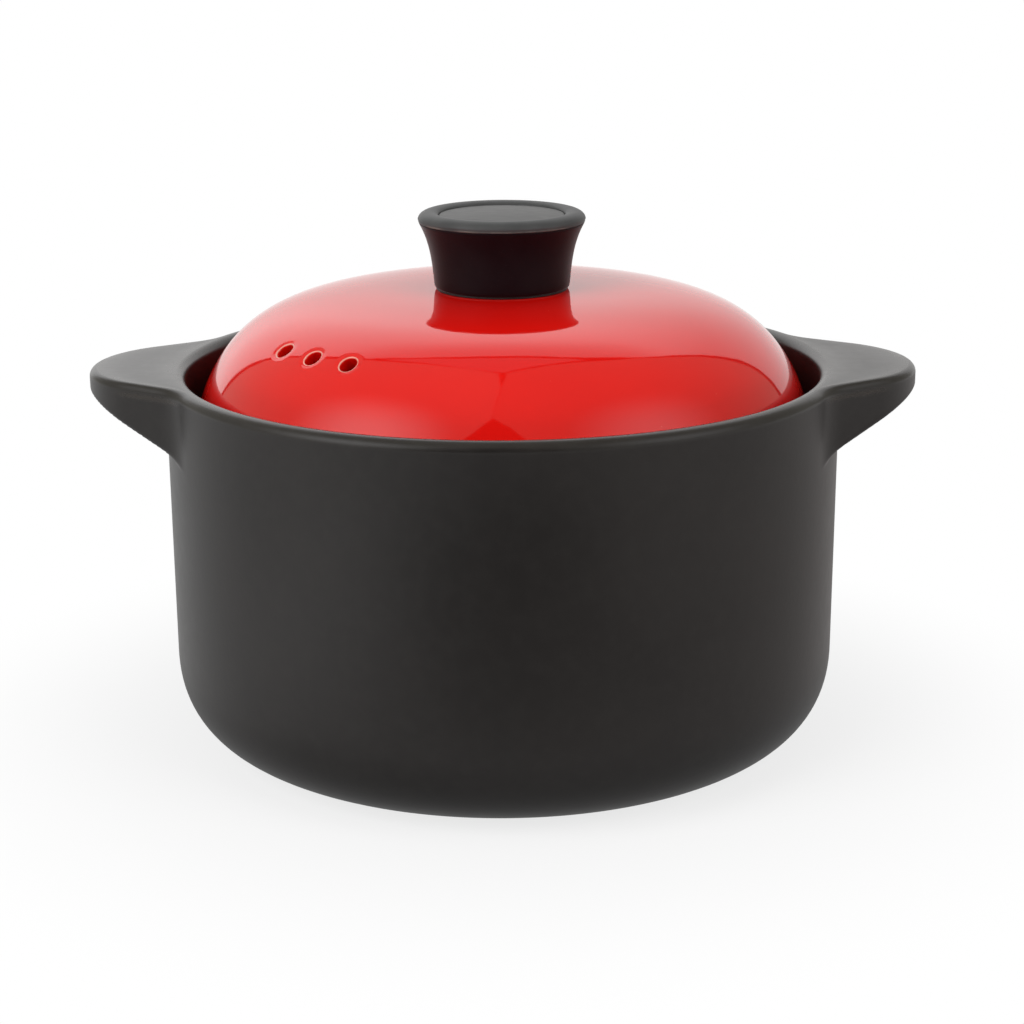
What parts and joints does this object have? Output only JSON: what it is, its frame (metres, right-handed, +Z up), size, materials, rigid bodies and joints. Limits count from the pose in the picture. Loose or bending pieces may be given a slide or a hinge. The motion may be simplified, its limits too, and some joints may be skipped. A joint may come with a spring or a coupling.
{
  "type": "chinese sand pot",
  "caption": "Straight-walled ceramic sand pot with wing ears and a glazed domed lid that drops inside the rim onto a ledge, with a screwed-on knob and steam holes.",
  "frame": {"origin": "centre of the ring that the pot stands on, on the axis of the wall", "axes": "+X along the ears, +Y to the back of the pot as pictured, +Z up"},
  "size_m": [0.2422, 0.1968, 0.1567],
  "materials": {
    "pot_glaze": "satin black glaze",
    "lid_glaze": "glossy red glaze",
    "knob_plastic": "matte dark maroon phenolic",
    "soft_ring": "matte dark grey silicone",
    "top_plate": "satin grey plastic",
    "brass": "turned brass",
    "steel": "stainless steel",
    "seal_silicone": "translucent grey silicone",
    "gasket_silicone": "black silicone"
  },
  "bodies": {
    "pot": {"pot_body": "pot_glaze"},
    "lid_pad": {"knob_gasket": "gasket_silicone"},
    "lid": {"lid": "lid_glaze", "knob_body": "knob_plastic", "knob_grip_ring": "soft_ring", "knob_top_plate": "top_plate", "knob_insert": "brass", "knob_screw": "steel", "screw_washer": "steel", "inner_seal": "seal_silicone"}
  },
  "joints": [
    {"name": "lid_lift", "type": "slide", "parent": "pot", "child": "lid_pad", "axis": [0, 0, 1], "range_m": [0, 0.06]},
    {"name": "lid_turn", "type": "hinge", "parent": "lid_pad", "child": "lid", "pos_m": [0, 0, 0.134], "axis": [0, 0, 1], "continuous": true}
  ]
}
